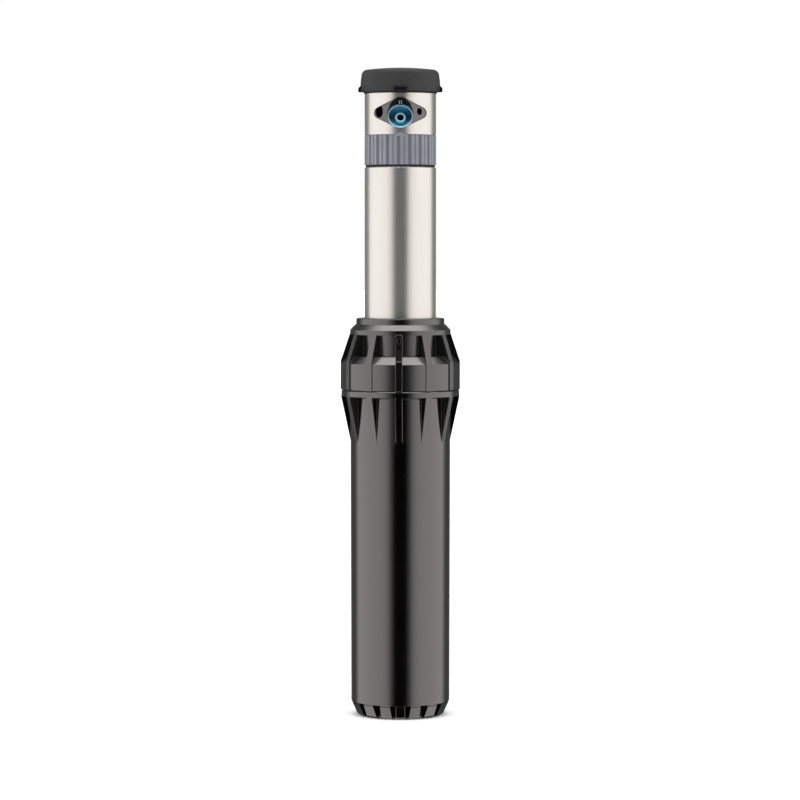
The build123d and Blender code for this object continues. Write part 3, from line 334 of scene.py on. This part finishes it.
def moulded(name, tone_low, tone_high, roughness):
    """Moulded plastic with a faint grain and a slightly uneven colour."""
    material, tree, shader = new_material(name)
    cloud = noise(tree, scale=90.0, detail=5.0)
    tree.links.new(ramp(tree, cloud, ((0.3, tone_low), (0.7, tone_high))), shader.inputs["Base Color"])
    grain = noise(tree, scale=500.0, detail=3.0)
    tree.links.new(spread(tree, grain, roughness - 0.06, roughness + 0.08), shader.inputs["Roughness"])
    bump(tree, shader, grain, 0.12, 0.0001)
    return material


def dark_rubber(name, tone_low, tone_high):
    """Matte moulded rubber with a fine stipple and paler scuffs."""
    material, tree, shader = new_material(name)
    cloud = noise(tree, scale=70.0, detail=6.0, roughness=0.6)
    tree.links.new(ramp(tree, cloud, ((0.35, tone_low), (0.7, tone_high))), shader.inputs["Base Color"])
    stipple = noise(tree, scale=1400.0, detail=2.0)
    tree.links.new(spread(tree, stipple, 0.5, 0.68), shader.inputs["Roughness"])
    shader.inputs["Specular IOR Level"].default_value = 0.18
    bump(tree, shader, stipple, 0.22, 0.0001)
    return material


def parts_of(material):
    """A material's node tree, its shader and the socket that its colour comes from."""
    tree = material.node_tree
    shader = tree.nodes["Principled BSDF"]
    return tree, shader, shader.inputs["Base Color"].links[0].from_socket


def with_painted_shade_inwards(material, fade, shade_tone):
    """Paints shade into a material: towards the axis it turns to the given darker tone. The fade is two
    radii in millimetres.
    """
    tree, shader, outer = parts_of(material)
    share = between(tree, axis_radius(tree), *fade)
    tree.links.new(mixed(tree, share, shade_tone, outer), shader.inputs["Base Color"])
    return material


# The nozzle's axis, the direction up across it, and the middle of its outer face. The fades, which
# place the painted highlight on the rims and the ring and the painted shade in the bore, are along the
# axis behind that face, and out from the bore's axis.
NOZZLE_TILT = math.radians(25.0)
NOZZLE_AXIS = Vector((0.0, -math.cos(NOZZLE_TILT), math.sin(NOZZLE_TILT)))
NOZZLE_UP = Vector((0.0, math.sin(NOZZLE_TILT), math.cos(NOZZLE_TILT)))
NOZZLE_FACE = Vector((0.0, -0.0137, 0.2755))
NOZZLE_RADIUS = 5.4 * MM
NOZZLE_RIM_HIGHLIGHT_FADE = (-0.95 * MM, -0.6 * MM)
NOZZLE_RING_HIGHLIGHT_FADE = (-2.6 * MM, -2.3 * MM)
NOZZLE_BORE_SHADE_FADE = (1.4 * MM, 1.65 * MM)


def nozzle_blue(name):
    """Translucent blue plastic.

    The thin rims that face outwards carry a painted highlight, as of light coming through them.
    The recess has painted shade, deep blue above and at its sides, and a painted pool of light,
    teal, on its lower part. The bore is painted nearly black, as painted shade.
    """
    material, tree, shader = new_material(name)
    depth = along(tree, "Object", NOZZLE_AXIS, -NOZZLE_AXIS.dot(NOZZLE_FACE))
    height = along(tree, "Object", NOZZLE_UP, -NOZZLE_UP.dot(NOZZLE_FACE))
    # painted shade, deep blue, above and at the sides, and a painted pool of light, teal, below
    recess = ramp(
        tree,
        between(tree, height, -NOZZLE_RADIUS, NOZZLE_RADIUS),
        (
            (0.05, (0.090, 0.480, 0.620)),
            (0.30, (0.060, 0.420, 0.560)),
            (0.44, (0.004, 0.120, 0.210)),
            (0.58, (0.001, 0.038, 0.100)),
            (0.82, (0.010, 0.120, 0.230)),
            (0.97, (0.060, 0.280, 0.430)),
        ),
    )
    cloud = noise(tree, scale=160.0, detail=4.0)
    # painted highlight for the outward-facing rims and the ring's face
    pale = ramp(tree, cloud, ((0.3, (0.270, 0.500, 0.610)), (0.7, (0.310, 0.550, 0.660))))
    facing_out = between(tree, along(tree, "Normal", NOZZLE_AXIS), 0.55, 0.85)
    at_ring = between(tree, depth, *NOZZLE_RING_HIGHLIGHT_FADE)
    at_rim = between(tree, depth, *NOZZLE_RIM_HIGHLIGHT_FADE)
    on_ring = math_node(tree, "MULTIPLY", facing_out, at_ring)
    rim_highlight_share = math_node(tree, "MAXIMUM", on_ring, at_rim)
    tone = mixed(tree, rim_highlight_share, recess, pale)
    across = tree.nodes.new("ShaderNodeCombineXYZ")
    tree.links.new(along(tree, "Object", (1.0, 0.0, 0.0)), across.inputs["X"])
    tree.links.new(height, across.inputs["Y"])
    from_axis = tree.nodes.new("ShaderNodeVectorMath")
    from_axis.operation = "LENGTH"
    tree.links.new(across.outputs[0], from_axis.inputs[0])
    outside_bore = between(tree, from_axis.outputs["Value"], *NOZZLE_BORE_SHADE_FADE)
    # the bore is painted nearly black, as painted shade
    tone = mixed(tree, outside_bore, (0.0004, 0.001, 0.003), tone)
    tree.links.new(tone, shader.inputs["Base Color"])
    tree.links.new(spread(tree, cloud, 0.22, 0.34), shader.inputs["Roughness"])
    shader.inputs["Specular IOR Level"].default_value = 0.4
    grain = noise(tree, scale=700.0, detail=3.0)
    bump(tree, shader, grain, 0.08, 0.0001, soft_edges(tree, NOZZLE_EDGE_RADIUS))
    return material


# The rubber cap's ears stand out past these radii, in millimetres, and are painted dark as painted
# shade. The painted shade along its bottom edge ends at these heights, in metres.
EAR_SHADE_FADE = (18.32, 18.5)
BOTTOM_SHADE_FADE = (0.2864, 0.2870)


def eared_rubber(name):
    """The cap's rubber. Its four ears and its bottom edge are painted darker, as painted shade."""
    material = dark_rubber(name, (0.0270, 0.0264, 0.0262), (0.0360, 0.0352, 0.0350))
    tree, shader, skirt = parts_of(material)
    share = between(tree, axis_radius(tree), *EAR_SHADE_FADE)
    # painted shade: the ears turn near black
    tone = mixed(tree, share, skirt, (0.0006, 0.0005, 0.0005))
    above_shaded_edge = between(tree, along(tree, "Object", (0.0, 0.0, 1.0)), *BOTTOM_SHADE_FADE)
    # painted shade along the bottom edge
    tone = mixed(tree, above_shaded_edge, (0.004, 0.0037, 0.0036), tone)
    tree.links.new(tone, shader.inputs["Base Color"])
    return material


# Painted shade: the grip ring darkens from its flutes' crests to their bottoms, and the turret's
# plastic darkens inwards, into its ports and the recess over the nozzle.
GRIP_SHADE_FADE = (15.75, 16.42)
TURRET_SHADE_FADE = (15.5, 15.9)
GRIP = moulded("grip_plastic", (0.166, 0.173, 0.206), (0.218, 0.225, 0.259), 0.42)
TURRET = moulded("turret_plastic", (0.098, 0.087, 0.083), (0.132, 0.117, 0.112), 0.42)
# One material for each slot of the record.
MATERIALS = {
    "can_plastic": moulded_black("can_plastic", 0.1, 0.95),
    "cap_plastic": moulded_black("cap_plastic", 0.2, 0.92),
    "seal_rubber": dark_rubber("seal_rubber", (0.012, 0.012, 0.012), (0.02, 0.02, 0.02)),
    "support_plastic": moulded("support_plastic", (0.70, 0.69, 0.65), (0.76, 0.75, 0.71), 0.4),
    "spring_steel": plain_steel("spring_steel", (0.45, 0.44, 0.42), (0.55, 0.54, 0.52), 0.25),
    "riser_plastic": moulded("riser_plastic", (0.035, 0.035, 0.037), (0.05, 0.05, 0.052), 0.45),
    "sleeve_steel": brushed_steel("sleeve_steel"),
    "screen_plastic": moulded("screen_plastic", (0.02, 0.02, 0.02), (0.035, 0.035, 0.035), 0.5),
    "gear_plastic": moulded("gear_plastic", (0.78, 0.76, 0.70), (0.84, 0.82, 0.77), 0.38),
    "pin_steel": plain_steel("pin_steel", (0.155, 0.158, 0.154), (0.195, 0.198, 0.192), 0.18),
    "lever_plastic": moulded("lever_plastic", (0.30, 0.31, 0.33), (0.38, 0.39, 0.41), 0.4),
    # painted shade at the bottoms of the grip ring's flutes
    "grip_plastic": with_painted_shade_inwards(GRIP, GRIP_SHADE_FADE, (0.098, 0.102, 0.121)),
    # painted shade, near black, in the turret's ports and the recess over the nozzle
    "turret_plastic": with_painted_shade_inwards(TURRET, TURRET_SHADE_FADE, (0.0022, 0.0020, 0.0018)),
    "nozzle_plastic": nozzle_blue("nozzle_plastic"),
    "cap_rubber": eared_rubber("cap_rubber"),
}


def finish_cad_nodes():
    """Gives every CAD node the material of its slot."""
    slots = {row["node"]: row["material_slot"] for row in frame["record"]["subparts"]}
    for name, node in frame["nodes"].items():
        material = MATERIALS[slots[name]]
        if not node.material_slots:
            node.data.materials.append(material)
        for place in node.material_slots:
            place.material = material


# ---- pieces --------------------------------------------------------------------------
def make_piece(name, points, faces, slot_name, smooth=True):
    """A mesh piece from points in metres, with the finish of one of the record's slots."""
    mesh = bpy.data.meshes.new(name)
    mesh.from_pydata([tuple(point) for point in points], [], faces)
    mesh.polygons.foreach_set("use_smooth", [smooth] * len(mesh.polygons))
    mesh.materials.append(MATERIALS[slot_name])
    piece = bpy.data.objects.new(name, mesh)
    SCENE.collection.objects.link(piece)
    return piece


def ring_faces(rings, sides):
    """Quads along a row of rings, with the two ends closed."""
    faces = []
    for ring in range(rings - 1):
        for side in range(sides):
            here = ring * sides + side
            beside = ring * sides + (side + 1) % sides
            faces.append((here, beside, beside + sides, here + sides))
    last = (rings - 1) * sides
    faces.append(tuple(reversed(range(sides))))
    faces.append(tuple(range(last, last + sides)))
    return faces


def helix(radius, bottom, top, turns, closed_turn_rise, steps):
    """Points up a compression spring's wire. The first and last turn lie closed."""
    points = []
    free_rise = (top - bottom - 2 * closed_turn_rise) / (turns - 2)
    for step in range(int(turns * steps) + 1):
        turn = step / steps
        if turn <= 1:
            height = turn * closed_turn_rise
        elif turn >= turns - 1:
            height = top - bottom - (turns - turn) * closed_turn_rise
        else:
            height = closed_turn_rise + (turn - 1) * free_rise
        angle = 2 * math.pi * turn
        points.append(Vector((radius * math.cos(angle), radius * math.sin(angle), bottom + height)))
    return points


CLOSED_TURN = 2.02  # the rise of a closed end turn, in wire radii


def make_spring(name, node, wire, radius, turns, steps=48, sides=12):
    """A coil spring in the place of a CAD node, between the ends of that node's box. The wire is given
    by its radius.

    It is built while the wire has no thickness, and then each section of the wire is set round its
    middle.
    """
    low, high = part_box(node)
    path = helix(radius, low.z + wire, high.z - wire, turns, CLOSED_TURN * wire, steps)
    centres = [point for point in path for side in range(sides)]
    spring = make_piece(name, centres, ring_faces(len(path), sides), "spring_steel")
    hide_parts(node)
    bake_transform(spring)
    round_points = []
    for point in path:
        outwards = Vector((point.x, point.y, 0.0)).normalized()
        for side in range(sides):
            # the minus turns the faces outwards
            turn = -2 * math.pi * side / sides
            rise = Vector((0.0, 0.0, math.sin(turn)))
            round_points.append(point + wire * (math.cos(turn) * outwards + rise))
    spring.data.vertices.foreach_set("co", [value for point in round_points for value in point])
    spring.data.update()


def make_inlet_thread():
    """The pipe thread's ridge, a helix inside the inlet that fades out at both ends.

    Its sizes are in millimetres, and the ridge runs from low to high.
    """
    pitch = 1.814
    root_radius = 12.2
    crest_radius = 11.5
    root_half_width = 0.8
    crest_half_width = 0.14
    least_depth = 0.02
    fade_turns = 0.5
    low = 1.1
    high = 12.4
    steps = 72
    points = []
    count = int((high - low) / pitch * steps)
    for step in range(count + 1):
        turn = step / steps
        fade = min(1.0, turn / fade_turns, (count - step) / steps / fade_turns)
        height = low + turn * pitch
        angle = 2 * math.pi * turn
        inner_radius = root_radius - max(least_depth, (root_radius - crest_radius) * fade)
        section = (
            (root_radius, -root_half_width),
            (inner_radius, -crest_half_width),
            (inner_radius, crest_half_width),
            (root_radius, root_half_width),
        )
        for radius, rise in section:
            points.append((radius * math.cos(angle), radius * math.sin(angle), height + rise))
    points = [tuple(value * MM for value in point) for point in points]
    faces = ring_faces(count + 1, len(section))
    thread = make_piece("inlet_thread", points, faces, "can_plastic", smooth=False)
    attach(thread, "housing")


def make_parting_lines():
    """The mould's parting line, a fine ridge up each side of the can, in millimetres."""
    half_width = 0.16
    crest_half_width = half_width / 3
    proud = 0.05
    sunk = 0.12
    section = (
        (-half_width, -sunk),
        (-crest_half_width, proud),
        (crest_half_width, proud),
        (half_width, -sunk),
    )
    # heights up the can, and its radius there
    wall = ((6.75, 22.68), (40.0, 22.748), (83.0, 22.837), (126.0, 22.94))
    for name, side in (("parting_line_left", -1), ("parting_line_right", 1)):
        points = []
        for height, radius in wall:
            for across, out in section:
                points.append((side * (radius + out) * MM, side * across * MM, height * MM))
        faces = ring_faces(len(wall), len(section))
        ridge = make_piece(name, points, faces, "can_plastic", smooth=False)
        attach(ridge, "housing")


make_camera()
make_world()
make_floor()
finish_cad_nodes()
make_spring(
    "retraction_coil",
    "retraction_spring",
    wire=0.75 * MM,
    radius=18.4 * MM,
    turns=15,
)
make_spring(
    "poppet_coil",
    "poppet_spring",
    wire=0.18 * MM,
    radius=1.75 * MM,
    turns=6,
    steps=32,
    sides=8,
)
make_inlet_thread()
make_parting_lines()
